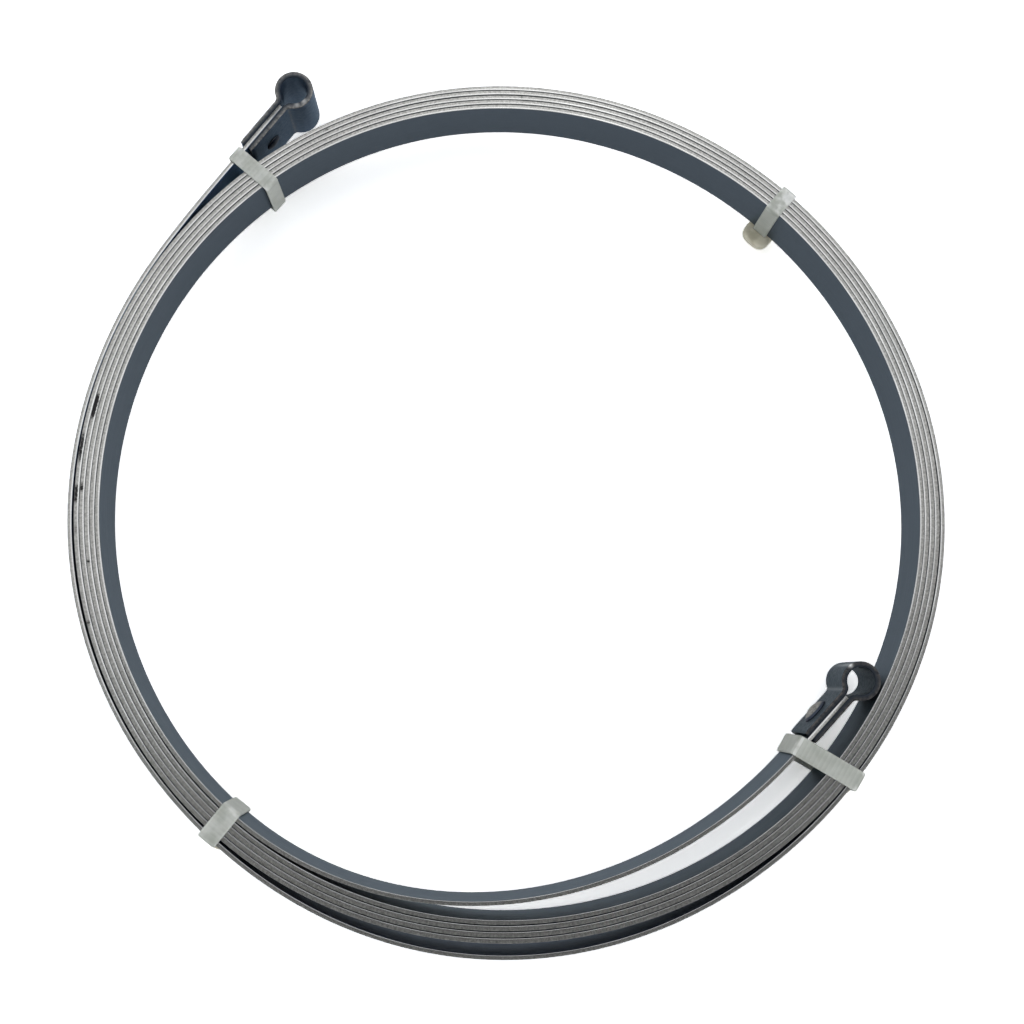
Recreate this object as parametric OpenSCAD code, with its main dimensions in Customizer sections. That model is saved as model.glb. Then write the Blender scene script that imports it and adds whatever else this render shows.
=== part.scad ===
// Recoil starter spring, wound and tied for fitting.
// One flat spring-steel strip is wound into a ring. A clip bent into an eye is riveted to each end,
// and four cable ties keep the turns together. The ring lies flat on the heads of its ties.
// Millimetres, +Z up. The origin is on the floor under the coil's centre, and angles turn about it.

/* [Strip] */
// Thickness of the spring strip
strip_t = 0.65; // [0.45:0.05:0.9]
// Width of the spring strip, which is its height as it lies
strip_w = 11; // [8:0.5:16]

/* [Coil] */
// Inner radius of the last whole turn
coil_r = 61.65; // [52:0.05:80]
// Whole turns between the two free ends
turns = 5; // [2:1:7]
// Gap between turns on the tight side, at the top
gap_tight = 0.09; // [0.05:0.01:0.3]
// Gap between turns on the loose side, at the bottom
gap_loose = 0.25; // [0.1:0.01:0.5]
// Height of the two lobes that make the coil oval
oval = 0.33; // [0:0.01:1]
// Direction of the oval's long axis
oval_at = 164; // [0:1:180]
// Height of the three lobes between the ties
lobe = 0.31; // [0:0.01:1]
// Direction of the first of the three lobes
lobe_at = 106; // [0:1:120]
// Bow of the outermost turn, away from the others
bow = 1.43; // [0:0.01:3]
// Direction of the bow's middle
bow_at = 270; // [265:1:275]
// Angle that the bow covers
bow_span = 106; // [90:1:110]
// Slack of the outermost turn where it comes from the outer end
slack = 0.2; // [0:0.01:0.8]

/* [Free ends] */
// Direction where the outer end leaves the coil
outer_from = 151; // [145:0.5:155]
// Angle over which the outer end eases from the coil into its straight run
outer_ease = 19.6; // [12:0.2:24]
// Lift of the outer end off the coil where its straight run starts
outer_lift = 1.3; // [0.8:0.05:2]
// Straight strip between the coil's curve and the outer eye's legs
outer_past = 6.2; // [1:0.1:10]
// Direction where the inner end leaves the coil
inner_from = 229.3; // [222:0.1:232]
// Angle over which the inner end curves away from the coil
inner_ease = 89.5; // [80:0.1:96]
// Distance of the inner end from its turn where its straight run starts
inner_dip = 4.75; // [4.4:0.05:7]
// Straight strip between the inner end's curve and the inner eye's legs
inner_past = 3.2; // [1:0.1:5]

/* [Eyes] */
// Bore of an eye
eye_bore = 4.3; // [3:0.1:5]
// Thickness of the sheet that a clip is bent from
clip_t = 0.8; // [0.5:0.05:1]
// Width of a clip, along the bore
clip_w = 11; // [6:0.5:11]
// Outer radius of the bends at an eye's neck
neck_r = 0.8; // [0.4:0.1:1.5]
// Reach of a clip's legs from the bore's centre
leg = 11.5; // [10:0.1:15]
// Clearance between a leg and the strip
clip_fit = 0.02; // [0.01:0.01:0.05]

/* [Rivets] */
// Diameter of a rivet's shank
rivet_d = 2; // [1.2:0.1:2.3]
// Diameter of the set head, which shows at the inner eye
rivet_head_d = 4.2; // [3:0.1:4.5]
// Height of the set head
rivet_head_h = 1; // [0.4:0.05:1.2]
// Diameter of the upset tail, which shows at the outer eye
rivet_tail_d = 2.6; // [2.5:0.1:4.5]
// Height of the upset tail
rivet_tail_h = 0.4; // [0.3:0.05:0.8]
// Clearance round a rivet and under its heads
rivet_fit = 0.02; // [0.01:0.01:0.05]

/* [Ties] */
// Width of the strap of the two narrow ties, which hold the outer end and the coil's upper side
strap_w = 2.5; // [2:0.1:3.6]
// Width of the strap of the two wide ties, which hold the inner end
wide_strap_w = 3.1; // [2:0.1:3.6]
// Thickness of a tie's strap
strap_t = 0.45; // [0.35:0.05:1]
// Clearance between a strap and what it holds
tie_fit = 0.05; // [0.03:0.01:0.2]
// Length of a tie's head, along the strap
head_l = 5; // [4.2:0.1:7]
// Width of a tie's head
head_w = 4.7; // [4.2:0.1:7]
// Height of a tie's head, on which the coil lies
head_h = 3.4; // [2.6:0.1:5]
// Wall of a head beyond its slot
head_wall = 1.9; // [1.2:0.1:2.4]
// Radius of a head's upright corners at the slot's end
head_round = 1.3; // [0.5:0.1:1.8]
// Inset of a head's bottom from its sides and, twice, from its tip
head_draft = 0.5; // [0.1:0.05:0.6]
// Room round the cut tail in a head's slot
slot_gap = 0.3; // [0.1:0.05:0.5]
// Depth to which the slot's mouth can be seen into
slot_depth = 0.9; // [0.4:0.1:1.4]
// Distance of the end ties' middles past the ends of the legs
tie_past_leg = 1.95; // [1.5:0.05:4]
// Turn of the outer end's tie from square to its leg
outer_tie_turn = -2; // [-8:1:8]
// Turn of the inner end's tie from square to its leg
inner_tie_turn = 12; // [-4:1:14]
// Direction of the upper tie from the coil's centre
upper_tie_at = 48.2; // [20:0.1:80]
// Turn of the upper tie from the radius
upper_tie_turn = 0.5; // [-8:0.5:8]
// Direction of the lower tie from the coil's centre
lower_tie_at = 228.1; // [205:0.1:230]
// Turn of the lower tie from the radius
lower_tie_turn = 3; // [-8:0.5:8]

/* [Hidden] */

// Angle between two points of the coil, which divides a turn so that the turns' facets line up
coil_step = 3;
// Angle between two points of an eye or a rounded corner
arc_step = 10;
// Length by which a cut runs past the faces that it opens
past = 1;
// Facets of a bore, a shank and a rivet's head
round_fn = 96;

// Heights: the heads lie on the floor, and the strip and the clips lie on the heads
strip_z = head_h + tie_fit;
mid_z = strip_z + strip_w / 2;

// An eye's neck: the bends touch the bore's circle and the legs' planes
bore_r = eye_bore / 2;
slot_half = strip_t / 2 + clip_fit;
bend_r = neck_r + clip_t;
bend_y = slot_half + bend_r;
bend_a = asin(bend_y / (bore_r + bend_r));
neck = (bore_r + bend_r) * cos(bend_a);
leg_half = slot_half + clip_t;

// Places along a leg, measured from the bore's centre
outer_run = leg + outer_past;
inner_run = leg + inner_past;
tie_at_leg = leg + tie_past_leg;
rivet_at = (neck + leg) / 2;

// The strip is followed by one winding angle, which grows from its outer end to its inner end
outer_to = outer_from - outer_ease;
inner_to = inner_from + inner_ease;
last_turn = 360 * turns;

function unit(a) = [cos(a), sin(a)];
function share(x, from, to) = min(max((x - from) / (to - from), 0), 1);
function arc(centre, r, from, to) =
    let (n = max(ceil(abs(to - from) / arc_step), 1))
    [for (i = [0:n]) centre + r * unit(from + (to - from) * i / n)];
function mirrored(points) = [for (i = [len(points) - 1:-1:0]) [points[i].x, -points[i].y]];

// Pitch of the turns in one direction: tight at the top, loose at the bottom
function pitch(a) = strip_t + gap_tight + (gap_loose - gap_tight) * pow((1 - sin(a)) / 2, 2);

// Radius of the strip's middle at a winding angle: a spiral on an oval with three lobes, less the inner
// end's dip, plus the outermost turn's bow and slack and the outer end's lift
function strip_r(w) =
    coil_r + strip_t / 2
    + oval * cos(2 * (w - oval_at)) + lobe * cos(3 * (w - lobe_at))
    + pitch(w) * (turns - w / 360)
    + bow * pow(sin(180 * share(w, bow_at - bow_span / 2, bow_at + bow_span / 2)), 2)
    + slack * pow(sin(180 * share(w, outer_from, inner_from)), 2)
    + outer_lift * pow(max(outer_from - w, 0) / outer_ease, 3)
    - inner_dip * pow(sin(90 * share(w, last_turn + inner_from, last_turn + inner_to)), 2);
function strip_point(w) = strip_r(w) * unit(w);
function strip_heading(w) =
    let (d = strip_point(w + 0.01) - strip_point(w - 0.01))
    atan2(d.y, d.x);

// The two straight runs: each eye's centre, and the direction from it along its legs
outer_leg_a = strip_heading(outer_to);
outer_eye_at = strip_point(outer_to) - outer_run * unit(outer_leg_a);
inner_leg_a = strip_heading(last_turn + inner_to) + 180;
inner_eye_at = strip_point(last_turn + inner_to) - inner_run * unit(inner_leg_a);

// The strip's middle line, as points with headings, and its outline half a thickness to each side
middle = concat(
    [[outer_eye_at + neck * unit(outer_leg_a), outer_leg_a]],
    [for (w = [outer_to:coil_step:last_turn + inner_to - coil_step / 2]) [strip_point(w), strip_heading(w)]],
    [[strip_point(last_turn + inner_to), inner_leg_a + 180]],
    [[inner_eye_at + neck * unit(inner_leg_a), inner_leg_a + 180]]);
function side(m, s) = m[0] + s * strip_t / 2 * unit(m[1] + 90);
strip_outline = concat(
    [for (m = middle) side(m, 1)],
    [for (i = [len(middle) - 1:-1:0]) side(middle[i], -1)]);

// A clip's outline with its bore at the origin and its legs along +X: leg, bend, loop, bend, leg
clip_upper = concat(
    [[leg, leg_half]],
    arc([neck, bend_y], neck_r, 270, 180 + bend_a));
clip_outline = concat(
    clip_upper,
    arc([0, 0], bore_r + clip_t, bend_a + arc_step, 360 - bend_a - arc_step),
    mirrored(clip_upper));

// The open neck inside a clip: the strip's slot, widening between the bends into the bore
neck_upper = concat(
    [[leg + past, slot_half]],
    arc([neck, bend_y], bend_r, 270, 180 + bend_a + arc_step / 2),
    [bore_r / 2 * unit(bend_a)]);
neck_outline = concat(neck_upper, mirrored(neck_upper));

// Extent of the outlines along a tie, across the width w of its strap, on the tie's side of the coil
function placed(points, at, a) = [for (p = points) at + p.x * unit(a) + p.y * unit(a + 90)];
held_outlines = [
    strip_outline,
    placed(clip_outline, outer_eye_at, outer_leg_a),
    placed(clip_outline, inner_eye_at, inner_leg_a)];
function held_by(at, a, w) = [
    for (points = held_outlines)
        for (i = [0:len(points) - 1])
            let (
                p = points[i] - at,
                q = points[(i + 1) % len(points)] - at,
                pv = p * unit(a + 90),
                qv = q * unit(a + 90),
                pu = p * unit(a),
                qu = q * unit(a))
            if (min(pv, qv) <= w / 2 && max(pv, qv) >= -w / 2 && pu > -coil_r)
                for (v = [pv, qv])
                    let (edge = min(max(v, -w / 2), w / 2))
                    pv == qv ? pu : pu + (qu - pu) * (edge - pv) / (qv - pv)];

// Each tie's middle and direction: the end ties lie just past the legs, the others on the coil
function on_coil(a) = (coil_r + strip_t / 2) * unit(a);
outer_tie_place = [outer_eye_at + tie_at_leg * unit(outer_leg_a), outer_leg_a - 90 + outer_tie_turn];
inner_tie_place = [inner_eye_at + tie_at_leg * unit(inner_leg_a), inner_leg_a + 90 + inner_tie_turn];
upper_tie_place = [on_coil(upper_tie_at), upper_tie_at + upper_tie_turn];
lower_tie_place = [on_coil(lower_tie_at), lower_tie_at + lower_tie_turn];

// Cut for a rivet, in a clip's own directions
module rivet_hole() {
    translate([rivet_at, leg_half + past, mid_z])
        rotate([90, 0, 0])
            cylinder(h = 2 * (leg_half + past), d = rivet_d + 2 * rivet_fit, $fn = round_fn);
}

module at_outer_eye() {
    translate(outer_eye_at) rotate(outer_leg_a) children();
}

module at_inner_eye() {
    translate(inner_eye_at) rotate(inner_leg_a) children();
}

// The spring itself: one strip from eye to eye, pierced near each end for a rivet
module spring_strip() {
    color("slategray")
        difference() {
            translate([0, 0, strip_z])
                linear_extrude(strip_w)
                    polygon(strip_outline);
            at_outer_eye() rivet_hole();
            at_inner_eye() rivet_hole();
        }
}

// A clip: sheet steel bent round a true bore, with two legs that hold the strip between them
module clip() {
    difference() {
        translate([0, 0, mid_z - clip_w / 2])
            linear_extrude(clip_w)
                polygon(clip_outline);
        translate([0, 0, mid_z - clip_w / 2 - past])
            cylinder(h = clip_w + 2 * past, r = bore_r, $fn = round_fn);
        translate([0, 0, mid_z - clip_w / 2 - past])
            linear_extrude(clip_w + 2 * past)
                polygon(neck_outline);
        rivet_hole();
    }
}

// A rivet's head: a low dome, turned about +Z from its seat
module rivet_head(d, h) {
    dome_r = (d * d / 4 + h * h) / (2 * h);
    rotate_extrude($fn = round_fn)
        polygon(concat([[0, 0]], arc([0, h - dome_r], dome_r, acos(d / 2 / dome_r), 90)));
}

// A rivet through both legs and the strip, with its set head on the side given by +1 or -1
module rivet(head_side) {
    seat = leg_half + rivet_fit;
    translate([rivet_at, 0, mid_z])
        rotate([-90 * head_side, 0, 0]) {
            translate([0, 0, -seat])
                cylinder(h = 2 * seat, d = rivet_d, $fn = round_fn);
            translate([0, 0, seat])
                rivet_head(rivet_head_d, rivet_head_h);
            translate([0, 0, -seat])
                rotate([180, 0, 0])
                    rivet_head(rivet_tail_d, rivet_tail_h);
        }
}

module outer_eye() {
    color("dimgray") at_outer_eye() clip();
}

module outer_rivet() {
    color("silver") at_outer_eye() rivet(-1);
}

module inner_eye() {
    color("dimgray") at_inner_eye() clip();
}

module inner_rivet() {
    color("silver") at_inner_eye() rivet(-1);
}

// Sets an outline of lengths along a tie and heights upright, and gives it a width across the tie
module across_tie(w) {
    rotate([90, 0, 0])
        linear_extrude(w, center = true)
            children();
}

// A rectangle with its four corners rounded, from its lowest to its highest corner
function rounded(low, high, r) = concat(
    arc([high.x - r, high.y - r], r, 0, 90),
    arc([low.x + r, high.y - r], r, 90, 180),
    arc([low.x + r, low.y + r], r, 180, 270),
    arc([high.x - r, low.y + r], r, 270, 360));

// The strap: a close loop, w wide, round all that the tie holds
module strap_loop(low, high, w) {
    wall = [strap_t, strap_t];
    across_tie(w)
        difference() {
            polygon(rounded(low - wall, high + wall, strap_t));
            polygon([low, [high.x, low.y], high, [low.x, high.y]]);
        }
}

// The head: a block under the coil, round at the slot's end and sloped where the strap grows out of it. Its
// lower half draws in towards the bottom, where the slot's mouth is open round the cut tail.
// It is drawn for a strap that is w wide and a slot that starts at 0 on +X.
module tie_head(w) {
    tip = strap_t + head_wall;
    root = tip - head_l;
    slope = head_h - strap_t;
    half = head_w / 2;
    intersection() {
        across_tie(head_w)
            polygon([
                [root, head_h], [root, slope], [root + slope / 2, 0],
                [tip - 2 * head_draft, 0], [tip, head_h / 2], [tip, head_h]]);
        rotate([90, 0, 90])
            translate([0, 0, root - past])
                linear_extrude(head_l + 2 * past)
                    polygon([
                        [-half, head_h], [-half, head_h / 2], [head_draft - half, 0],
                        [half - head_draft, 0], [half, head_h / 2], [half, head_h]]);
        linear_extrude(head_h)
            polygon(concat(
                [[root, half], [root, -half]],
                arc([tip - head_round, head_round - half], head_round, -90, 0),
                arc([tip - head_round, half - head_round], head_round, 0, 90)));
        difference() {
            translate([root - past, -head_w, -past])
                cube([head_l + 2 * past, 2 * head_w, head_h + 2 * past]);
            translate([-slot_gap, -w / 2 - slot_gap, -past])
                cube([strap_t + 2 * slot_gap, w + 2 * slot_gap, past + slot_depth]);
        }
    }
    translate([0, -w / 2, tie_fit])
        cube([strap_t, w, head_h - tie_fit]);
}

// A tie in its place, with a strap w wide: its slot lies past the outer face of what it holds with
// slot_side +1, or past the inner face with -1
module tie(place, slot_side, w) {
    extent = held_by(place[0], place[1], w);
    low = [min(extent) - tie_fit, head_h];
    high = [max(extent) + tie_fit, strip_z + strip_w + tie_fit];
    color("gainsboro")
        translate(place[0])
            rotate(place[1]) {
                strap_loop(low, high, w);
                translate([slot_side > 0 ? high.x : low.x, 0, 0])
                    rotate(slot_side > 0 ? 0 : 180)
                        tie_head(w);
            }
}

module outer_end_tie() {
    tie(outer_tie_place, 1, strap_w);
}

module upper_tie() {
    tie(upper_tie_place, -1, strap_w);
}

module lower_tie() {
    tie(lower_tie_place, 1, wide_strap_w);
}

module inner_end_tie() {
    tie(inner_tie_place, 1, wide_strap_w);
}

spring_strip();
outer_eye();
outer_rivet();
inner_eye();
inner_rivet();
outer_end_tie();
upper_tie();
lower_tie();
inner_end_tie();
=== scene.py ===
import math

import bpy
import numpy as np
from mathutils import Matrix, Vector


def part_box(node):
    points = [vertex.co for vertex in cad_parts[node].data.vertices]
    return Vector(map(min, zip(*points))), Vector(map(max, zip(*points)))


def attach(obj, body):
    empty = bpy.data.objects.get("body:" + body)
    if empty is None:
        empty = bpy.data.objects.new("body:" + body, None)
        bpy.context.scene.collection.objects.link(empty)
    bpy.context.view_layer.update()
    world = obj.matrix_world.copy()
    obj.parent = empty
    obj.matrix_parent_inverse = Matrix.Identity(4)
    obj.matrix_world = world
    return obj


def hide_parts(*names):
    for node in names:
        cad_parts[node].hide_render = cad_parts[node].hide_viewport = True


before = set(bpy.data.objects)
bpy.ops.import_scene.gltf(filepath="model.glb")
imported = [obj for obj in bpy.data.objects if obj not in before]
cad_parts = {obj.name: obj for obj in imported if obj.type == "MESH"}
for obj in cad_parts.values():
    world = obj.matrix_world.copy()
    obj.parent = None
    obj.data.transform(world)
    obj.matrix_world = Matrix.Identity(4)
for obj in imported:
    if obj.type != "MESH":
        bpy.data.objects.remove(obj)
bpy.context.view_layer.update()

# Spring strip: one flat strip of tempered spring steel, slit to width and wound on edge into a ring.
# Its rolled faces are blue grey. The slit edges are bare, with a burnished band where the knife went in
# and a dull torn zone beyond it. Lengths are millimetres, here and below, until a mesh is made.
mm = 0.001
outer_face, inner_face = 0.305, 0.345
strip_bottom, strip_top = (corner_point.z / mm for corner_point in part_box("spring_strip"))
strip_wander = 0.06
coil_radius = 61.65
coil_turns = 5
coil_step = 0.75
turn_pitch = 0.65
tight_gap, loose_gap = 0.09, 0.25
oval, oval_at = 0.33, 164
lobe, lobe_at = 0.31, 106
bow, bow_at, bow_span = 1.43, 270, 106
slack = 0.2
outer_from, outer_ease, outer_lift, outer_past = 151, 19.6, 1.3, 6.2
inner_from, inner_ease, inner_dip, inner_past = 229.3, 89.5, 4.75, 3.2

# The strip's ends stop at the necks of the eyes, so the eyes' main sizes are needed here already.
eye_bore = 4.3
sheet_thick = 0.8
neck_round = 0.8
leg_reach = 11.5
leg_fit = 0.02
slot_half = turn_pitch / 2 + leg_fit
bend_radius = neck_round + sheet_thick
bend_side = slot_half + bend_radius
bend_angle = math.asin(bend_side / (eye_bore / 2 + bend_radius))
neck = (eye_bore / 2 + bend_radius) * math.cos(bend_angle)


def unit(angle):
    """Unit vector in the floor's plane, at an angle in degrees."""
    a = np.radians(angle)
    return np.stack([np.cos(a), np.sin(a), np.zeros_like(a)], -1)


def wave(angle):
    """Sine of an angle in degrees."""
    return np.sin(np.radians(angle))


def share(x, start, end):
    """How far x has gone from start to end, held between 0 and 1."""
    return np.clip((x - start) / (end - start), 0, 1)


def turn_gap(w):
    """Gap between neighbouring turns at winding angle w: tight at the top, loose at the bottom."""
    return tight_gap + (loose_gap - tight_gap) * ((1 - wave(w)) / 2) ** 2


def strip_point(w):
    """Point of the strip's middle line at winding angle w in degrees, which grows from the outer end inwards.

    The radius is a spiral on an oval with three lobes, tight at the top and loose at the bottom, plus the bow
    and the slack of the outermost turn and the lift of the outer end, less the dip of the free inner end.
    """
    radius = (
        coil_radius + turn_pitch / 2
        + oval * wave(2 * (w - oval_at) + 90) + lobe * wave(3 * (w - lobe_at) + 90)
        + (turn_pitch + turn_gap(w)) * (coil_turns - w / 360)
        + bow * wave(180 * share(w, bow_at - bow_span / 2, bow_at + bow_span / 2)) ** 2
        + slack * wave(180 * share(w, outer_from, inner_from)) ** 2
        + outer_lift * (np.maximum(outer_from - w, 0) / outer_ease) ** 3
        - inner_dip * wave(90 * share(w, last_turn + inner_from, winding_end)) ** 2
    )
    return radius[..., None] * unit(w)


def strip_heading(w):
    """Unit vector along the strip at winding angle w, from two points close to it."""
    d = strip_point(w + 0.01) - strip_point(w - 0.01)
    return d / np.linalg.norm(d, axis=-1, keepdims=True)


def carry_profile(centre, side, up, profile):
    """Carries a closed profile along a path.

    Grid point (i, j) is path point i, plus the profile's first length j along side i, plus its second along
    up i. The profile is one for all points of the path, or one for each.
    """
    return centre[:, None] + profile[..., :1] * side[:, None] + profile[..., 1:] * up[:, None]


def skin(name, grids, **values):
    """Makes a piece from grids of points whose rows are closed rings.

    Quads join each ring to the next. A grid marked as closed joins its last ring to its first, and any other
    grid gets a cap at each end. The sign of the volume turns the faces outwards. Each further value becomes a
    named value of the points: one number, or three, for each point.
    """
    points, faces, first = [], [], 0
    for grid, closed in grids:
        rings, around = grid.shape[:2]
        index = first + np.arange(rings * around).reshape(rings, around)
        a = index if closed else index[:-1]
        b = np.roll(index, -1, 0) if closed else index[1:]
        quads = np.stack([a, np.roll(a, -1, 1), np.roll(b, -1, 1), b], -1).reshape(-1, 4)
        flat = grid.reshape(-1, 3)
        p = (flat - flat.mean(0))[quads - first]
        volume = np.einsum("ij,ij->", p[:, 0], np.cross(p[:, 1], p[:, 2]) + np.cross(p[:, 2], p[:, 3]))
        caps = [] if closed else [index[0][::-1].tolist(), index[-1].tolist()]
        turn = 1 if volume > 0 else -1
        faces += [face[::turn] for face in quads.tolist() + caps]
        points.append(flat)
        first += len(flat)
    mesh = bpy.data.meshes.new(name)
    mesh.from_pydata((np.concatenate(points) * mm).tolist(), [], faces)
    mesh.polygons.foreach_set("use_smooth", np.ones(len(faces), bool))
    for value_name, value in values.items():
        vector = value.ndim > 1
        layer = mesh.attributes.new(value_name, "FLOAT_VECTOR" if vector else "FLOAT", "POINT")
        layer.data.foreach_set("vector" if vector else "value", value.astype(np.float32).ravel())
    mesh.update()
    piece = bpy.data.objects.new(name, mesh)
    bpy.context.scene.collection.objects.link(piece)
    return piece


def corner(centre, radius, start, end, count):
    """Points of an arc in a profile: the centre, plus the radius at angles from start to end in degrees."""
    a = np.radians(np.linspace(start, end, count))
    return np.array(centre) + radius * np.stack([np.cos(a), np.sin(a)], -1)


last_turn = 360 * coil_turns
winding_start = outer_from - outer_ease
winding_end = last_turn + inner_from + inner_ease
outer_leg = strip_heading(np.array(winding_start))
outer_eye_at = strip_point(np.array(winding_start)) - (leg_reach + outer_past) * outer_leg
inner_leg = -strip_heading(np.array(winding_end))
inner_eye_at = strip_point(np.array(winding_end)) - (leg_reach + inner_past) * inner_leg

winding = np.linspace(winding_start, winding_end, math.ceil((winding_end - winding_start) / coil_step))
strip_line = np.concatenate(
    [[outer_eye_at + neck * outer_leg], strip_point(winding), [inner_eye_at + neck * inner_leg]])
strip_along = np.concatenate([[outer_leg], strip_heading(winding), [-inner_leg]])
strip_out = strip_along[:, [1, 0, 2]] * [1, -1, 0]
upright = np.array([0.0, 0.0, 1.0])

# The section: half of it is the top edge, from the inner face to the outer face: the rolled corner, the burnished
# band, the torn zone and the burr. The bottom edge mirrors it.
half_wide = (strip_top - strip_bottom) / 2 - strip_wander
rollover = 0.05
band_end, torn_start = -0.16, -0.06
band_tilt, torn_drop, torn_tilt = 0.004, 0.012, 0.02
torn_middle = 0.1
burr_round = 0.04
band_support = 0.025
face_support = 0.5
slit_edge = np.concatenate([
    corner([rollover - inner_face, half_wide - band_tilt - rollover], rollover, 180, 90, 4),
    [[rollover + band_support - inner_face, half_wide - band_tilt], [band_end, half_wide]],
    [[torn_start, half_wide - torn_drop], [torn_middle, half_wide - torn_drop - torn_tilt / 2]],
    corner([outer_face - burr_round, half_wide - torn_drop - torn_tilt - burr_round], burr_round, 90, 0, 3)])
edge_bare = np.array([0, 0.12, 0.4, 0.95, 1, 1, 1, 1, 0.9, 0.4, 0])
edge_burnish = np.array([0.5, 1, 1, 1, 1, 1, 0, 0, 0, 0, 0])
face_heights = np.array([half_wide - face_support, 0, face_support - half_wide])
outer_points = np.stack([np.full(3, outer_face), face_heights], -1)
inner_points = np.stack([np.full(3, -inner_face), face_heights[::-1]], -1)
strip_profile = np.concatenate([slit_edge, outer_points, slit_edge[::-1] * [1, -1], inner_points])
strip_bare = np.concatenate([edge_bare, np.zeros(3), edge_bare[::-1], np.zeros(3)])
strip_burnish = np.concatenate([edge_burnish, np.zeros(3), edge_burnish[::-1], np.zeros(3)])

# Each turn lies a little higher or lower than the next. The inner faces of the middle turns are fuller, so that
# only narrow gaps show between turns that touch in places, and the strip is thinner where it enters the clips.
strip_mid = (strip_top + strip_bottom) / 2
wander_slow, wander_fast, wander_from = 0.31, 1.7, 40
seen_gap, seen_gap_top, seen_gap_front = 0.05, 0.09, 0.17
clip_entry = 8
wander_share = wave(wander_slow * winding + wander_from) * wave(wander_fast * winding)
wander = np.concatenate([[0], strip_wander * wander_share, [0]])
strip_line = strip_line + (strip_mid + wander)[:, None] * upright
strip_winding = np.concatenate([[winding_start], winding, [winding_end]])
in_outer_clip = share(strip_winding, winding_start + clip_entry, winding_start)
in_inner_clip = share(strip_winding, winding_end - clip_entry, winding_end)
gap_there = np.where(wave(strip_winding) > 0, seen_gap_top, seen_gap_front)
gap_kept = seen_gap + wave(strip_winding) ** 2 * (gap_there - seen_gap)
between_turns = share(strip_winding, 380, 400) * share(strip_winding, last_turn - 140, last_turn - 160)
fuller = np.maximum(turn_gap(strip_winding) - gap_kept, 0) * between_turns
thinner = (inner_face - outer_face) * np.maximum(in_outer_clip, in_inner_clip) - fuller
inwards = strip_profile[:, 0] < 0
moved = thinner[:, None] * inwards
profiles = strip_profile + np.stack([moved, np.zeros_like(moved)], -1)
strip_grid = carry_profile(strip_line, strip_out, np.broadcast_to(upright, strip_out.shape), profiles)


def in_bow(w):
    """1 along the bow of the outermost turn, 0 elsewhere, with a short slope at both ends."""
    return share(w, 200, 225) * share(w, 345, 320)


# The faces on both sides of the bow are painted darker and bluer, a painted shade in the deep gap under the bow,
# and the free outer end's inner face is painted lighter and bluer, a painted light in its dark wedge. Each is a
# change of the plain face's red, green and blue. A few oil marks lie across the top edges, each with its angle,
# its turn, half its length and its strength.
bow_blue, wedge_blue = np.array([-0.9, -0.8, -0.5]), np.array([1.8, 3.0, 4.2])
in_wedge = share(strip_winding, 190, 165)
inner_temper = in_bow(strip_winding)[:, None] * bow_blue + in_wedge[:, None] * wedge_blue
outer_temper = in_bow(strip_winding - 360)[:, None] * bow_blue
strip_temper = 1 + np.where(inwards[:, None], inner_temper[:, None], outer_temper[:, None])
steps = np.linalg.norm(np.diff(strip_line, axis=0), axis=1)
strip_length = np.concatenate([[0], np.cumsum(steps)])
around = np.concatenate([[0], np.cumsum(np.linalg.norm(np.diff(strip_profile, axis=0), axis=1))])
strip_lay = np.stack(np.broadcast_arrays(strip_length[:, None], around, 0.0), -1)
oil_marks = [(166.8, 2, 2.0, 1.0), (172.6, 1, 2.6, 0.75), (178.0, 2, 0.8, 0.8), (178.8, 1, 1.6, 0.8),
             (188.0, 3, 0.5, 0.7), (195.8, 1, 0.5, 0.7), (116.0, 2, 0.7, 0.6), (183.5, 1, 1.2, 0.5),
             (88.0, 3, 0.45, 0.6), (87.3, 5, 0.45, 0.55)]
oil = np.zeros(len(strip_winding))
for mark_at, turn, mark_half, strength in oil_marks:
    off = np.radians(strip_winding - mark_at - 360 * turn) * coil_radius
    oil = np.maximum(oil, strength * np.exp(-(off / mark_half) ** 4))
strip_oil = oil[:, None] * (strip_bare - 0.5 * strip_burnish) * (strip_profile[:, 1] > 0)

strip = skin(
    "spring_strip_steel", [(strip_grid, False)], lay=strip_lay.reshape(-1, 3), oil=strip_oil.ravel(),
    temper=strip_temper.reshape(-1, 3), bare=np.tile(strip_bare, len(strip_line)),
    burnish=np.tile(strip_burnish, len(strip_line)))


def add_node(tree, kind, inputs, **settings):
    """Adds one shader node with its settings, and fills each input with a value or with a link."""
    made = tree.nodes.new(kind)
    for key, value in settings.items():
        setattr(made, key, value)
    for key, value in inputs.items():
        if isinstance(value, bpy.types.NodeSocket):
            tree.links.new(value, made.inputs[key])
        else:
            made.inputs[key].default_value = value
    return made


def mix_colour(tree, factor, a, b):
    """Colour a where the factor is 0, colour b where it is 1."""
    return add_node(tree, "ShaderNodeMix", {0: factor, 6: a, 7: b}, data_type="RGBA").outputs[2]


def tint_colour(tree, factor, a, b):
    """Colour a where the factor is 0, and colour a times colour b where it is 1."""
    inputs = {0: factor, 6: a, 7: b}
    return add_node(tree, "ShaderNodeMix", inputs, data_type="RGBA", blend_type="MULTIPLY").outputs[2]


def mix_value(tree, factor, a, b):
    """Value a where the factor is 0, value b where it is 1."""
    return add_node(tree, "ShaderNodeMix", {0: factor, 2: a, 3: b}, data_type="FLOAT").outputs[0]


def between(tree, value, low, high):
    """0 where the value is at most low, 1 where it is at least high, and a smooth step between."""
    inputs = {0: value, 1: low, 2: high}
    return add_node(tree, "ShaderNodeMapRange", inputs, interpolation_type="SMOOTHSTEP").outputs[0]


def times(tree, a, b):
    """Product of two values."""
    return add_node(tree, "ShaderNodeMath", {0: a, 1: b}, operation="MULTIPLY").outputs[0]


def own_value(tree, name, output="Fac"):
    """A value that the mesh gives its points."""
    return add_node(tree, "ShaderNodeAttribute", {}, attribute_name=name).outputs[output]


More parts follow.
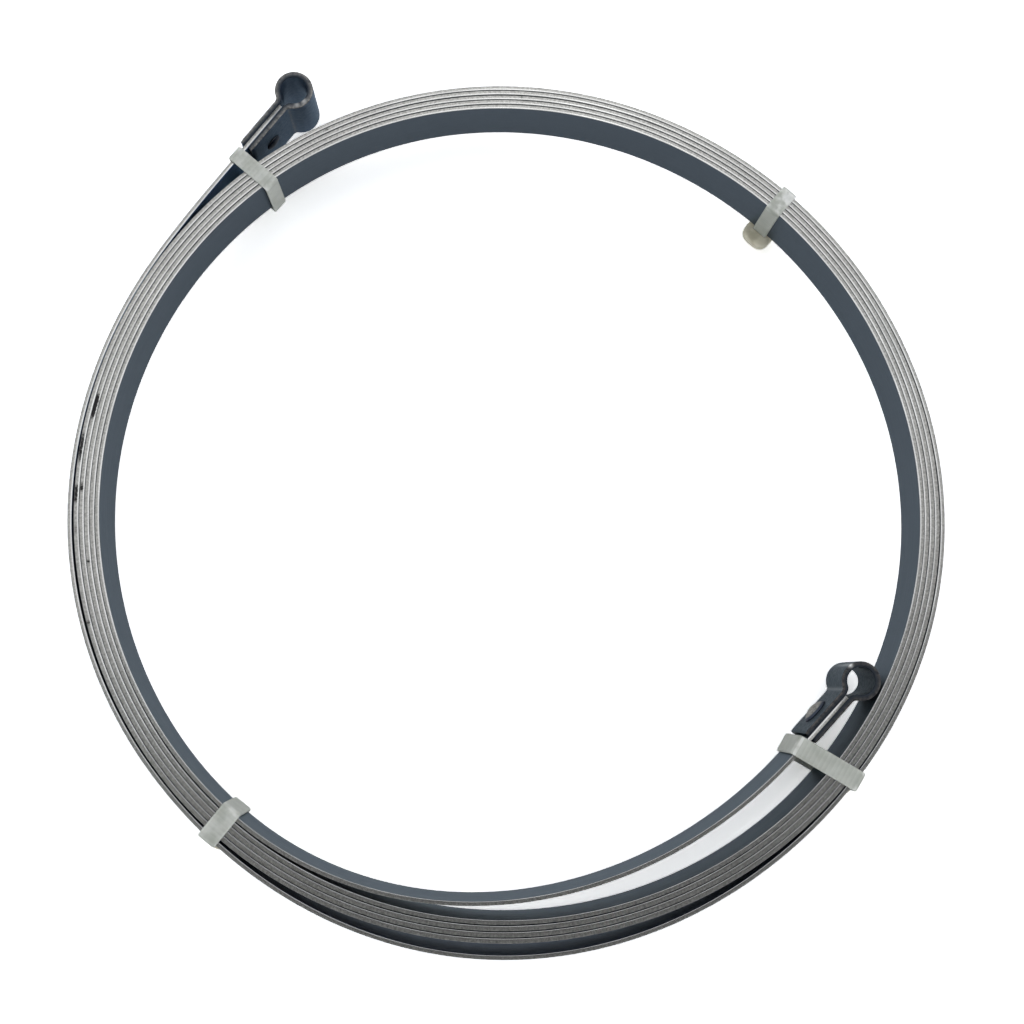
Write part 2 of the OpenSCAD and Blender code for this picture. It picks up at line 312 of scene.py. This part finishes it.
def new_material(name, **constants):
    """A material with one Principled shader, whose constant inputs are set on the shader itself."""
    material = bpy.data.materials.new(name)
    material.use_nodes = True
    tree = material.node_tree
    shader = tree.nodes["Principled BSDF"]
    for key, value in constants.items():
        shader.inputs[key.replace("_", " ")].default_value = value
    return material, tree, shader


def drawn_grain():
    """Node group for worked steel: streaks drawn out along a piece, and fine specks.

    Both are noise of the point's lay in millimetres, the streaks with the length along the piece squeezed.
    """
    group = bpy.data.node_groups.new("drawn_grain", "ShaderNodeTree")
    wanted = {"Lay": "NodeSocketVector", "Stretch": "NodeSocketFloat", "Speck": "NodeSocketFloat"}
    for name, kind in wanted.items():
        group.interface.new_socket(name, in_out="INPUT", socket_type=kind)
    for name in ("Streaks", "Specks", "Height"):
        group.interface.new_socket(name, in_out="OUTPUT", socket_type="NodeSocketFloat")
    given = group.nodes.new("NodeGroupInput")
    squeeze = add_node(group, "ShaderNodeCombineXYZ", {0: given.outputs["Stretch"], 1: 1.0, 2: 1.0})
    drawn = add_node(
        group, "ShaderNodeVectorMath", {0: given.outputs["Lay"], 1: squeeze.outputs[0]}, operation="MULTIPLY")
    noise = {"Scale": 3.0, "Detail": 4.0, "Roughness": 0.6}
    streaks = add_node(group, "ShaderNodeTexNoise", noise | {"Vector": drawn.outputs[0]})
    fine = {"Scale": given.outputs["Speck"], "Detail": 3.0, "Roughness": 0.65, "Vector": given.outputs["Lay"]}
    specks = add_node(group, "ShaderNodeTexNoise", fine)
    height = mix_value(group, 0.5, streaks.outputs["Fac"], specks.outputs["Fac"])
    result = group.nodes.new("NodeGroupOutput")
    group.links.new(between(group, streaks.outputs["Fac"], 0.3, 0.7), result.inputs["Streaks"])
    group.links.new(between(group, specks.outputs["Fac"], 0.3, 0.7), result.inputs["Specks"])
    group.links.new(height, result.inputs["Height"])
    return group


grain_group = drawn_grain()


def place_grain(tree, stretch, speck):
    """Places the grain group in a material, on the piece's own lay."""
    inputs = {"Lay": own_value(tree, "lay", "Vector"), "Stretch": stretch, "Speck": speck}
    made = tree.nodes.new("ShaderNodeGroup")
    made.node_tree = grain_group
    for key, value in inputs.items():
        if isinstance(value, bpy.types.NodeSocket):
            tree.links.new(value, made.inputs[key])
        else:
            made.inputs[key].default_value = value
    return made.outputs


def add_relief(tree, shader, height, strength, deep):
    """Roughens the surface by a height, which is as many millimetres deep as given."""
    bump = {"Height": height, "Strength": strength, "Distance": deep * mm}
    tree.links.new(add_node(tree, "ShaderNodeBump", bump).outputs[0], shader.inputs["Normal"])


face_dark, face_light = (0.062, 0.078, 0.100, 1), (0.084, 0.103, 0.126, 1)
torn_dark, torn_light = (0.29, 0.287, 0.273, 1), (0.55, 0.545, 0.522, 1)
band_dull, band_bright = (0.61, 0.608, 0.594, 1), (0.87, 0.868, 0.853, 1)
oil_black = (0.028, 0.027, 0.028, 1)
strip_steel, tree, shader = new_material("strip_steel", Metallic=0.92, Specular_Tint=(0.84, 0.93, 1, 1))
grain = place_grain(tree, 0.04, 2.6)
bare, burnish = own_value(tree, "bare"), own_value(tree, "burnish")
open_face = mix_colour(tree, grain["Streaks"], face_dark, face_light)
# The rolled faces carry the painted shade in the bow's gap and the painted light in the outer end's wedge.
rolled = tint_colour(tree, 1.0, open_face, own_value(tree, "temper", "Color"))
torn = mix_colour(tree, grain["Specks"], torn_dark, torn_light)
band = mix_colour(tree, grain["Streaks"], band_dull, band_bright)
slit = mix_colour(tree, burnish, torn, band)
steel = mix_colour(tree, bare, rolled, slit)
patchy_oil = times(tree, own_value(tree, "oil"), mix_value(tree, grain["Specks"], 0.5, 1.0))
soiled = between(tree, patchy_oil, 0.25, 0.55)
tree.links.new(mix_colour(tree, soiled, steel, oil_black), shader.inputs["Base Color"])
slit_rough = mix_value(tree, burnish, 0.34, 0.21)
face_rough = mix_value(tree, grain["Streaks"], 0.4, 0.5)
tree.links.new(mix_value(tree, bare, face_rough, slit_rough), shader.inputs["Roughness"])
add_relief(tree, shader, grain["Height"], 0.25, 0.03)
strip.data.materials.append(strip_steel)
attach(strip, "root")
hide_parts("spring_strip")

# Eyes: each end of the strip sits between the two legs of a clip, one piece of blued sheet steel bent round into
# an open eye. The sheet is cut before it is bent, so its cut edges show as thin brown rims. The two clips are one
# part: the outer one, which sits in shade, is painted lighter and bluer as painted light, and the inner one, which
# is well lit, is painted a darker grey as painted shade.
sheet_bottom, sheet_top = (corner_point.z / mm for corner_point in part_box("outer_eye"))
sheet_edge_round = 0.12
loop_thicker, loop_reach = 0.06, (3.2, 2.6)
end_taper = 0.8
arc_count = 9
loop_count = 72
leg_count = 12
rub_half = 0.42


def clip_line():
    """Middle line of a clip's sheet, with its bore at the origin and its legs along +X.

    It runs leg, bend, loop, bend, leg. The loop is an arc round the bore, each bend an arc the other way that
    meets the loop and the leg in line, and each leg a straight run. Gives the points and the unit vectors to the
    sheet's left.
    """
    leg_side = slot_half + sheet_thick / 2
    turn = math.degrees(bend_angle)
    along_leg = np.linspace(leg_reach, neck, leg_count, endpoint=False)
    leg = np.stack([along_leg, np.full(leg_count, leg_side)], -1)
    bend = corner([neck, bend_side], neck_round + sheet_thick / 2, 270, 180 + turn, arc_count)
    loop = corner([0, 0], (eye_bore + sheet_thick) / 2, turn, 360 - turn, loop_count)
    points = np.concatenate([leg, bend, loop[1:-1], bend[::-1] * [1, -1], leg[::-1] * [1, -1]])
    along = np.gradient(points, axis=0)
    along /= np.linalg.norm(along, axis=1, keepdims=True)
    return points, along[:, ::-1] * [-1, 1]


def rounded_section(half_a, half_b, radius, count):
    """A rectangle's outline with round corners: four arcs, and two points along each side to keep it flat."""
    inset_a, inset_b = half_a - radius, half_b - radius
    sides = [corner([inset_a * sa, inset_b * sb], radius, start, start + 90, count)
             for sa, sb, start in ((1, 1, 0), (-1, 1, 90), (-1, -1, 180), (1, -1, 270))]
    supports = [[[inset_a / 2, half_b], [-inset_a / 2, half_b]],
                [[-half_a, inset_b - radius], [-half_a, radius - inset_b]],
                [[-inset_a / 2, -half_b], [inset_a / 2, -half_b]],
                [[half_a, radius - inset_b], [half_a, inset_b - radius]]]
    return np.concatenate([part for pair in zip(sides, supports) for part in pair])


def eye_clip(name, eye_at, leg, worn_spots):
    """One clip: the sheet's rounded section carried along its middle line, turned to its leg, set at its eye.

    Its points know the cut edges, the torn outer side of these rims, a painted highlight along each bend, and
    the painted glints of the top rim, bright spots each with its angle round the bore, its radius, its size and
    its strength.
    """
    points, left = clip_line()
    leg_left = np.array([-leg[1], leg[0], 0])
    level = (sheet_bottom + sheet_top) / 2 * upright
    centre = eye_at + points[:, :1] * leg + points[:, 1:] * leg_left + level
    side = left[:, :1] * leg + left[:, 1:] * leg_left
    section = rounded_section(sheet_thick / 2, (sheet_top - sheet_bottom) / 2, sheet_edge_round, 4)
    ends = np.ones(len(points))
    ends[[0, -1]] = end_taper
    profile = section * np.stack([ends, np.ones(len(points))], -1)[:, None]
    in_loop = share(np.linalg.norm(points, axis=1), *loop_reach)
    profile[..., 0] += loop_thicker * in_loop[:, None] * (section[:, 0] > 0)
    grid = carry_profile(centre, side, np.broadcast_to(upright, side.shape), profile)
    run = np.concatenate([[0], np.cumsum(np.linalg.norm(np.diff(points, axis=0), axis=1))])
    girth = np.concatenate([[0], np.cumsum(np.linalg.norm(np.diff(section, axis=0), axis=1))])
    lay = np.stack(np.broadcast_arrays(run[:, None], girth, 0.0), -1)
    at_edge = np.abs(section[:, 1]) > (sheet_top - sheet_bottom) / 2 - 0.6 * sheet_edge_round
    torn_rim = at_edge * np.clip(0.45 - 1.6 * section[:, 0] / sheet_thick, 0, 1)
    bend_middle = leg_count + arc_count // 2
    from_bend = np.abs(run[:, None] - run[[bend_middle, -1 - bend_middle]]).min(1)
    rub = np.exp(-(from_bend / rub_half) ** 2)[:, None] * (section[:, 0] < 0)
    worn = np.zeros(grid.shape[:2])
    for angle, reach, size, strength in worn_spots:
        spot = eye_at + reach * unit(np.array(angle)) + sheet_top * upright
        worn = np.maximum(worn, strength * np.exp(-(np.linalg.norm(grid - spot, axis=-1) / size) ** 2))
    return skin(
        name, [(grid, False)], lay=lay.reshape(-1, 3), cut=np.tile(at_edge.astype(float), len(points)),
        torn_rim=np.tile(torn_rim, len(points)), rub=rub.ravel(), worn=worn.ravel())


# Colours of the painted highlight along each bend, the dark inner side of the cut rims, and the painted glints.
rubbed_steel = (0.30, 0.31, 0.32, 1)
sheared_dark = (0.030, 0.037, 0.048, 1)
worn_steel = (0.9, 0.9, 0.89, 1)


def sheet_steel(name, dark, light, rim_dark, rim_light, tint):
    """Dark sheet steel: faces streaked between two colours, and rims where it was cut.

    The rims are dark, and speckled brown on their outer side. A paler line along each bend is a painted highlight,
    and bright spots on the top rim are painted glints.
    """
    material, tree, shader = new_material(name, Metallic=0.8, Specular_Tint=tint)
    grain = place_grain(tree, 0.25, 1.8)
    sheet_face = mix_colour(tree, grain["Streaks"], dark, light)
    rim = mix_colour(tree, grain["Specks"], rim_dark, rim_light)
    rubbed = times(tree, own_value(tree, "rub"), mix_value(tree, grain["Specks"], 0.2, 0.8))
    pressed = mix_colour(tree, rubbed, sheet_face, rubbed_steel)
    sheared = mix_colour(tree, own_value(tree, "torn_rim"), sheared_dark, rim)
    edged = mix_colour(tree, own_value(tree, "cut"), pressed, sheared)
    tree.links.new(mix_colour(tree, own_value(tree, "worn"), edged, worn_steel), shader.inputs["Base Color"])
    tree.links.new(mix_value(tree, grain["Specks"], 0.36, 0.5), shader.inputs["Roughness"])
    add_relief(tree, shader, grain["Height"], 0.3, 0.04)
    return material


# The outer clip's colours are painted lighter against the shade it sits in, and the inner clip's darker against
# the light it gets.
blued_sheet = sheet_steel(
    "blued_sheet", (0.062, 0.095, 0.150, 1), (0.100, 0.138, 0.198, 1), (0.08, 0.08, 0.08, 1),
    (0.30, 0.292, 0.282, 1), (0.76, 0.89, 1, 1))
worn_sheet = sheet_steel(
    "worn_sheet", (0.021, 0.033, 0.045, 1), (0.038, 0.049, 0.060, 1), (0.035, 0.037, 0.042, 1),
    (0.13, 0.122, 0.116, 1), (0.70, 0.78, 0.84, 1))
for node_name, eye_at, leg, sheet, worn_spots in (
        ("outer_eye", outer_eye_at, outer_leg, blued_sheet, [(-48, 2.35, 0.4, 0.4), (-78, 2.4, 0.35, 0.35)]),
        ("inner_eye", inner_eye_at, inner_leg, worn_sheet, [(124, 2.85, 0.3, 1.0)])):
    clip = eye_clip(node_name + "_clip", eye_at, leg, worn_spots)
    clip.data.materials.append(sheet)
    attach(clip, "root")
    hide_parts(node_name)

# Rivets: a plain steel rivet goes through both legs and the strip at each eye. Its set head is a proud dome,
# which shows at the inner eye. At the outer eye it is on the far side, and the small hammered tail shows.
rivet_thick = 2.0
rivet_head_wide, rivet_head_high = 4.2, 1.0
rivet_tail_wide, rivet_tail_high = 2.6, 0.4
rivet_fit = 0.02
rivet_at = (neck + leg_reach) / 2
rivet_seat = slot_half + sheet_thick + rivet_fit
rim_high = 0.12
pole = 0.02
turn_count = 48


def dome(wide, high, count):
    """Radius and height of a rivet head's section, from top to seat: an arc, then a short upright rim."""
    crown = high - rim_high
    radius = (wide ** 2 / 4 + crown ** 2) / (2 * crown)
    reach = np.linspace(pole, wide / 2, count)
    arc = np.stack([reach, rim_high + crown - radius + np.sqrt(radius ** 2 - reach ** 2)], -1)
    return np.concatenate([arc, [[wide / 2, 0.0]]])


def rivet(name, eye_at, leg, head_side):
    """One rivet: its section turned about its axis, which crosses the legs at the strip's middle height."""
    head = dome(rivet_head_wide, rivet_head_high, 10) + [0, rivet_seat]
    tail = dome(rivet_tail_wide, rivet_tail_high, 8) + [0, rivet_seat]
    shank = np.array([[rivet_thick / 2, rivet_seat], [rivet_thick / 2, -rivet_seat]])
    section = np.concatenate([head, shank, tail[::-1] * [1, -1]])
    axis = head_side * np.array([-leg[1], leg[0], 0])
    turn = np.linspace(0, 2 * np.pi, turn_count, endpoint=False)[:, None]
    ring = np.cos(turn) * leg + np.sin(turn) * upright
    middle = eye_at + rivet_at * leg + strip_mid * upright
    grid = middle + section[:, 1, None, None] * axis + section[:, 0, None, None] * ring
    lay = (grid - middle).reshape(-1, 3)
    # The head's outer rim and the whole tail get a dark colour: painted shade where the head meets the leg, and on
    # the tail, which sits in shade.
    dark = (section[:, 0] > 0.42 * rivet_head_wide) | (section[:, 1] < -rivet_seat)
    rim_value = np.repeat(dark.astype(float), turn_count)
    return skin(name, [(grid, False)], lay=lay, rim=rim_value)


zinc_dark, zinc_light = (0.21, 0.205, 0.192, 1), (0.40, 0.393, 0.37, 1)
# Painted shade colour for the head's rim and the tail.
rivet_rim_dark = (0.05, 0.062, 0.09, 1)
rivet_steel, tree, shader = new_material("rivet_steel", Metallic=0.8)
grain = place_grain(tree, 1.0, 1.4)
dull = mix_colour(tree, grain["Streaks"], zinc_dark, zinc_light)
tree.links.new(mix_colour(tree, own_value(tree, "rim"), dull, rivet_rim_dark), shader.inputs["Base Color"])
tree.links.new(mix_value(tree, grain["Specks"], 0.4, 0.55), shader.inputs["Roughness"])
add_relief(tree, shader, grain["Height"], 0.3, 0.05)
for node_name, eye_at, leg, head_side in (
        ("outer_rivet", outer_eye_at, outer_leg, -1), ("inner_rivet", inner_eye_at, inner_leg, -1)):
    pin = rivet(node_name + "_steel", eye_at, leg, head_side)
    pin.data.materials.append(rivet_steel)
    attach(pin, "root")
    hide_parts(node_name)

# Ties: four natural nylon cable ties keep the turns together. Each is moulded in one piece: a toothed strap
# goes round what it holds and back through the slot of its own head, and its tail is cut off below the slot.
narrow_strap, wide_strap = 2.5, 3.1
strap_thick = 0.45
strap_bend = 0.45
tooth_pitch, tooth_deep = 0.7, 0.1
strap_step = tooth_pitch / 6
head_long, head_wide, head_high = 5.0, 4.7, 3.4
head_wall = 1.9
head_draft = 0.5
slot_gap, slot_deep = 0.3, 0.9
tail_clear = 0.05
head_fillet = 0.45
head_around = 64


def node_points(name):
    """Corner points of one of the frame's solids, in millimetres."""
    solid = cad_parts[name].data
    flat = np.empty(3 * len(solid.vertices), np.float32)
    solid.vertices.foreach_get("co", flat)
    return flat.reshape(-1, 3).astype(float) / mm


def strap_line(low, high):
    """Middle line of a strap's loop: a rectangle from its low to its high corner with four round bends.

    Gives the points, as lengths along the tie and heights, the unit vectors outwards, the length along the loop,
    and 1 for the points of a bend or 0 for those of a straight run.
    """
    points, outward, bent = [], [], []
    inset_low, inset_high = low + strap_bend, high - strap_bend
    bends = [(inset_high, 0), ([inset_low[0], inset_high[1]], 90),
             (inset_low, 180), ([inset_high[0], inset_low[1]], 270)]
    for bend, (centre, start) in enumerate(bends):
        arc = corner([0, 0], 1.0, start, start + 90, 7)
        after = np.array(bends[(bend + 1) % 4][0]) + strap_bend * arc[-1]
        before = np.array(centre) + strap_bend * arc[-1]
        count = math.ceil(np.linalg.norm(after - before) / strap_step)
        run = np.linspace(before, after, count, endpoint=False)[1:]
        points += [np.array(centre) + strap_bend * arc, run]
        outward += [arc, np.broadcast_to(arc[-1], run.shape)]
        bent += [np.ones(len(arc)), np.zeros(len(run))]
    points, outward = np.concatenate(points), np.concatenate(outward)
    length = np.concatenate([[0], np.cumsum(np.linalg.norm(np.diff(points, axis=0), axis=1))])
    return points, outward, length, np.concatenate(bent)


def strap_section(tooth, strap_wide):
    """Section of the strap for each point of its line: first lengths outwards, then across.

    It has a low crown outside, round edges, two rims inside, and between the rims the toothed floor, cut into the
    strap by the given depths.
    """
    half, edge = strap_thick / 2, strap_wide / 2
    outside = [[half - 0.03, 0.88 * edge], [half, 0.74 * edge], [half, 0.0], [half, -0.74 * edge],
               [half - 0.03, -0.88 * edge]]
    side = [[half - 0.1, -0.97 * edge], [half - 0.2, -edge], [0.1 - half, -edge], [0.02 - half, -0.95 * edge]]
    rim_side = [[-half, -0.87 * edge], [-half, -0.72 * edge]]
    floor = [[-half, -0.64 * edge], [-half, 0.0], [-half, 0.64 * edge]]
    mirror_rim = [[a, -b] for a, b in reversed(rim_side)]
    mirror_side = [[a, -b] for a, b in reversed(side)]
    section = np.array(outside + side + rim_side + floor + mirror_rim + mirror_side)
    cut = np.zeros(len(section))
    first = len(outside + side + rim_side)
    cut[first:first + len(floor)] = 1
    depth = cut * tooth[:, None]
    return section + np.stack([depth, np.zeros_like(depth)], -1)


def head_rings(strap_wide):
    """The head as rings, each a superellipse about the slot: over the top, down the sides, up into the slot.

    Lengths along the tie start at the strap's inner face. The root's end slopes in towards the bottom, the end
    beyond the slot is rounder, the lower half draws in, and the last rings are the slot's mouth and its
    walls.
    """
    tip = strap_thick + head_wall
    root = tip - head_long
    slope = head_high - strap_thick
    fillet = head_fillet * np.array([1.0, 0.3, 0.0])
    heights = np.concatenate([
        [head_high], head_high - fillet[::-1], np.linspace(head_high - 2 * head_fillet, 2 * head_fillet, 6),
        fillet, [0.0, 0.15, slot_deep]])
    inset = np.concatenate([[1.0], fillet, np.zeros(6), fillet[::-1], [0.0, 0.0, 0.0]])
    in_slot = np.zeros(len(heights))
    in_slot[-3:] = 1
    middle = strap_thick / 2
    lean = np.maximum(slope - heights, 0) / 2
    drawn_in = head_draft * np.maximum(1 - 2 * heights / head_high, 0)
    to_tip = np.where(in_slot, middle + slot_gap, tip - middle - inset - 2 * drawn_in)
    to_root = np.where(in_slot, middle + slot_gap, middle - root - lean - inset)
    to_side = np.where(in_slot, strap_wide / 2 + slot_gap, head_wide / 2 - inset - drawn_in)
    turn = np.linspace(0, 2 * np.pi, head_around, endpoint=False)
    c, s = np.cos(turn), np.sin(turn)
    power = np.where(in_slot[:, None] > 0, 14, np.where(c > 0, 2.9, 6.0))
    along = np.where(c > 0, to_tip[:, None], to_root[:, None])
    reach = ((np.abs(c) / along) ** power + (np.abs(s) / to_side[:, None]) ** power) ** (-1 / power)
    high = np.broadcast_to(heights[:, None], reach.shape)
    return np.stack([middle + reach * c, reach * s, high], -1)


def cable_tie(name, node_name, middle, angle, slot_side, strap_wide, top_paler, wall_dimmer):
    """One tie: its strap's section carried round the loop that the frame's solid gives, its head and cut tail.

    Its points know their place within a tooth, where the strap is paler, which at the bends is partly a crease and
    partly a painted highlight and on the top is a painted highlight, where its walls carry a painted shade, which
    stands partly for the dark steel showing through, and which belong to the thick head.
    """
    along, across = unit(np.array(angle)), unit(np.array(angle + 90.0))
    solid = node_points(node_name)
    upper = (solid[solid[:, 2] > head_high + strap_thick] - middle) @ along
    low = np.array([upper.min(), head_high - strap_thick]) + strap_thick / 2
    high = np.array([upper.max(), solid[:, 2].max()]) - strap_thick / 2
    points, outward, length, bent = strap_line(low, high)
    phase = (length / tooth_pitch) % 1
    centre = middle + points[:, :1] * along + points[:, 1:] * upright
    side = outward[:, :1] * along + outward[:, 1:] * upright
    section = strap_section(tooth_deep * (1 - phase), strap_wide)
    loop = carry_profile(centre, side, np.broadcast_to(across, side.shape), section)
    slot_at = high[0] - strap_thick / 2 if slot_side > 0 else low[0] + strap_thick / 2
    seat = middle + slot_at * along
    rings = head_rings(strap_wide)
    head = seat + slot_side * (rings[..., :1] * along + rings[..., 1:2] * across) + rings[..., 2:] * upright
    tail_line = np.array([[0, 0, tail_clear], [0, 0, tail_clear + 0.06], [0, 0, head_high]])
    tail_section = rounded_section(strap_thick / 2, strap_wide / 2, 0.1, 4)
    tail_taper = np.array([0.9, 1.0, 1.0])[:, None, None] * tail_section
    tail_seat = seat + slot_side * strap_thick / 2 * along + tail_line
    tail_side, tail_across = (np.broadcast_to(vector, tail_seat.shape) for vector in (along, across))
    tail = carry_profile(tail_seat, tail_side, tail_across, tail_taper)
    sizes = [grid.shape[0] * grid.shape[1] for grid in (loop, head, tail)]
    band = np.concatenate([np.repeat(phase, loop.shape[1]), np.full(sizes[1] + sizes[2], 0.5)])
    # Paler at the bends, partly a crease and partly a painted highlight, and on the top, a painted highlight.
    strained = np.maximum(0.7 * bent, top_paler * (outward[:, 1] > 0.9))
    crease = np.concatenate([np.repeat(strained, loop.shape[1]), np.zeros(sizes[1] + sizes[2])])
    # Darker walls: a painted shade, partly standing for the dark steel behind.
    backed = np.repeat(wall_dimmer * (np.abs(outward[:, 0]) > 0.7), loop.shape[1])
    backed = np.concatenate([backed, np.zeros(sizes[1] + sizes[2])])
    thick = np.repeat([0.0, 1.0, 0.0], sizes)
    return skin(
        name, [(loop, True), (head, False), (tail, False)],
        band=band, crease=crease, backed=backed, thick=thick)


nylon_dim, nylon_pale = (0.42, 0.44, 0.40, 1), (0.54, 0.56, 0.52, 1)
thick_dim, thick_pale = (0.50, 0.475, 0.36, 1), (0.70, 0.67, 0.54, 1)
# Tint of the painted shade on strap walls, and the pale colour of creases and painted highlights.
steel_behind = (0.72, 0.73, 0.71, 1)
nylon_crease = (0.80, 0.81, 0.79, 1)
nylon, tree, shader = new_material(
    "natural_nylon", Roughness=0.38, Subsurface_Weight=0.35, Subsurface_Scale=0.8 * mm, IOR=1.53,
    Subsurface_Radius=(1.0, 0.95, 0.8))
place = add_node(tree, "ShaderNodeTexCoord", {}).outputs["Object"]
cloud_noise = {"Vector": place, "Scale": 0.5 / mm, "Detail": 3.0}
cloud = add_node(tree, "ShaderNodeTexNoise", cloud_noise).outputs["Fac"]
teeth = mix_value(tree, 0.2, cloud, own_value(tree, "band"))
plain = mix_colour(tree, between(tree, teeth, 0.25, 0.75), nylon_dim, nylon_pale)
stressed = times(tree, own_value(tree, "crease"), between(tree, cloud, 0.36, 0.64))
strap_colour = mix_colour(tree, stressed, plain, nylon_crease)
strap_seen = tint_colour(tree, own_value(tree, "backed"), strap_colour, steel_behind)
head_colour = mix_colour(tree, between(tree, cloud, 0.36, 0.64), thick_dim, thick_pale)
nylon_colour = mix_colour(tree, own_value(tree, "thick"), strap_seen, head_colour)
tree.links.new(nylon_colour, shader.inputs["Base Color"])
add_relief(tree, shader, cloud, 0.3, 0.08)

outer_leg_angle = math.degrees(math.atan2(outer_leg[1], outer_leg[0]))
inner_leg_angle = math.degrees(math.atan2(inner_leg[1], inner_leg[0]))
tie_at_leg = leg_reach + 1.95
upper_tie_at, upper_tie_turn = 48.2, 0.5
lower_tie_at, lower_tie_turn = 228.1, 3
outer_tie_turn, inner_tie_turn = -2, 12
ring_middle = coil_radius + turn_pitch / 2

# Each tie: its middle, the angle that it points at, the side of its slot, its width, the strength of the painted
# highlight on its top and the strength of the painted shade on its walls.
outer_tie_at, inner_tie_at = outer_eye_at + tie_at_leg * outer_leg, inner_eye_at + tie_at_leg * inner_leg
upper_tie_mid, lower_tie_mid = ring_middle * unit(np.array([upper_tie_at, lower_tie_at]))
tie_places = {
    "outer_end_tie": (outer_tie_at, outer_leg_angle - 90 + outer_tie_turn, 1, narrow_strap, 0.25, 0.2),
    "upper_tie": (upper_tie_mid, upper_tie_at + upper_tie_turn, -1, narrow_strap, 1.1, 1.0),
    "lower_tie": (lower_tie_mid, lower_tie_at + lower_tie_turn, 1, wide_strap, 0.25, 0.5),
    "inner_end_tie": (inner_tie_at, inner_leg_angle + 90 + inner_tie_turn, 1, wide_strap, 0, 1.0)}
for node_name, place in tie_places.items():
    tie = cable_tie(node_name + "_nylon", node_name, *place)
    tie.data.materials.append(nylon)
    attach(tie, "root")
    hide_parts(node_name)

# Stage: a white table top that keeps the object's soft shadow, an even sky that is a little dimmer at the back and
# dark only high above the front, one weak soft lamp, and a camera that looks down on the ring from a little in
# front.
floor_half = 3.0
floor_mesh = bpy.data.meshes.new("floor")
floor_corners = [(x * floor_half, y * floor_half, 0) for x, y in ((-1, -1), (1, -1), (1, 1), (-1, 1))]
floor_mesh.from_pydata(floor_corners, [], [(0, 1, 2, 3)])
table_top = bpy.data.objects.new("floor", floor_mesh)
bpy.context.scene.collection.objects.link(table_top)
floor_plain, floor_seen = (0.93, 0.93, 0.93, 1), (2.25, 2.25, 2.25, 1)
floor_lift = 0.05
white_table = bpy.data.materials.new("white_table")
white_table.use_nodes = True
tree = white_table.node_tree
tree.nodes.remove(tree.nodes["Principled BSDF"])
path = add_node(tree, "ShaderNodeLightPath", {}).outputs
mirror_rays = {0: path["Is Glossy Ray"], 1: path["Is Transmission Ray"]}
mirrored = add_node(tree, "ShaderNodeMath", mirror_rays, operation="MAXIMUM").outputs[0]
floor_colour = mix_colour(tree, path["Is Camera Ray"], floor_plain, floor_seen)
matt = add_node(tree, "ShaderNodeBsdfDiffuse", {"Color": floor_colour})
lift = add_node(tree, "ShaderNodeEmission", {"Strength": times(tree, mirrored, floor_lift)})
both = add_node(tree, "ShaderNodeAddShader", {0: matt.outputs[0], 1: lift.outputs[0]})
tree.links.new(both.outputs[0], tree.nodes["Material Output"].inputs["Surface"])
floor_mesh.materials.append(white_table)

sky_plain, sky_back, sky_dark = 1.1, 0.92, 0.02
front_slant = (0.12, -1.0, 0.0)
world = bpy.data.worlds.new("soft_sky")
world.use_nodes = True
bpy.context.scene.world = world
tree = world.node_tree
direction = add_node(tree, "ShaderNodeTexCoord", {}).outputs["Generated"]
frontward = add_node(
    tree, "ShaderNodeVectorMath", {0: direction, 1: front_slant}, operation="DOT_PRODUCT").outputs["Value"]
parts = add_node(tree, "ShaderNodeSeparateXYZ", {0: direction}).outputs
round_sky = mix_value(tree, between(tree, parts["Y"], 0.15, 0.35), sky_plain, sky_back)
shaded = times(tree, between(tree, frontward, -0.02, 0.04), between(tree, parts["Z"], 0.70, 0.80))
sky = mix_value(tree, shaded, round_sky, sky_dark)
camera_ray = add_node(tree, "ShaderNodeLightPath", {}).outputs["Is Camera Ray"]
tree.links.new(mix_value(tree, camera_ray, sky, 1.0), tree.nodes["Background"].inputs["Strength"])
sky_colour = mix_colour(tree, camera_ray, (0.97, 0.985, 1, 1), (1, 1, 1, 1))
tree.links.new(sky_colour, tree.nodes["Background"].inputs["Color"])

lamp_data = bpy.data.lights.new("soft_lamp", "AREA")
lamp_data.shape = "DISK"
lamp_data.size = 0.35
lamp_data.energy = 0.3
lamp = bpy.data.objects.new("soft_lamp", lamp_data)
lamp.location = (0.1, 0.6, 0.9)
lamp.rotation_euler = (math.radians(-33.7), math.radians(5.3), 0)
bpy.context.scene.collection.objects.link(lamp)

camera_data = bpy.data.cameras.new("camera")
camera_data.lens = 56.25
camera_data.sensor_width = 36
camera_data.clip_start = 0.01
camera = bpy.data.objects.new("camera", camera_data)
camera.location = (-5.336 * mm, -26.745 * mm, 253.45 * mm)
camera.rotation_euler = (math.radians(6.08), math.radians(-1.38), 0)
bpy.context.scene.collection.objects.link(camera)
bpy.context.scene.camera = camera
bpy.context.scene.view_settings.view_transform = "Standard"
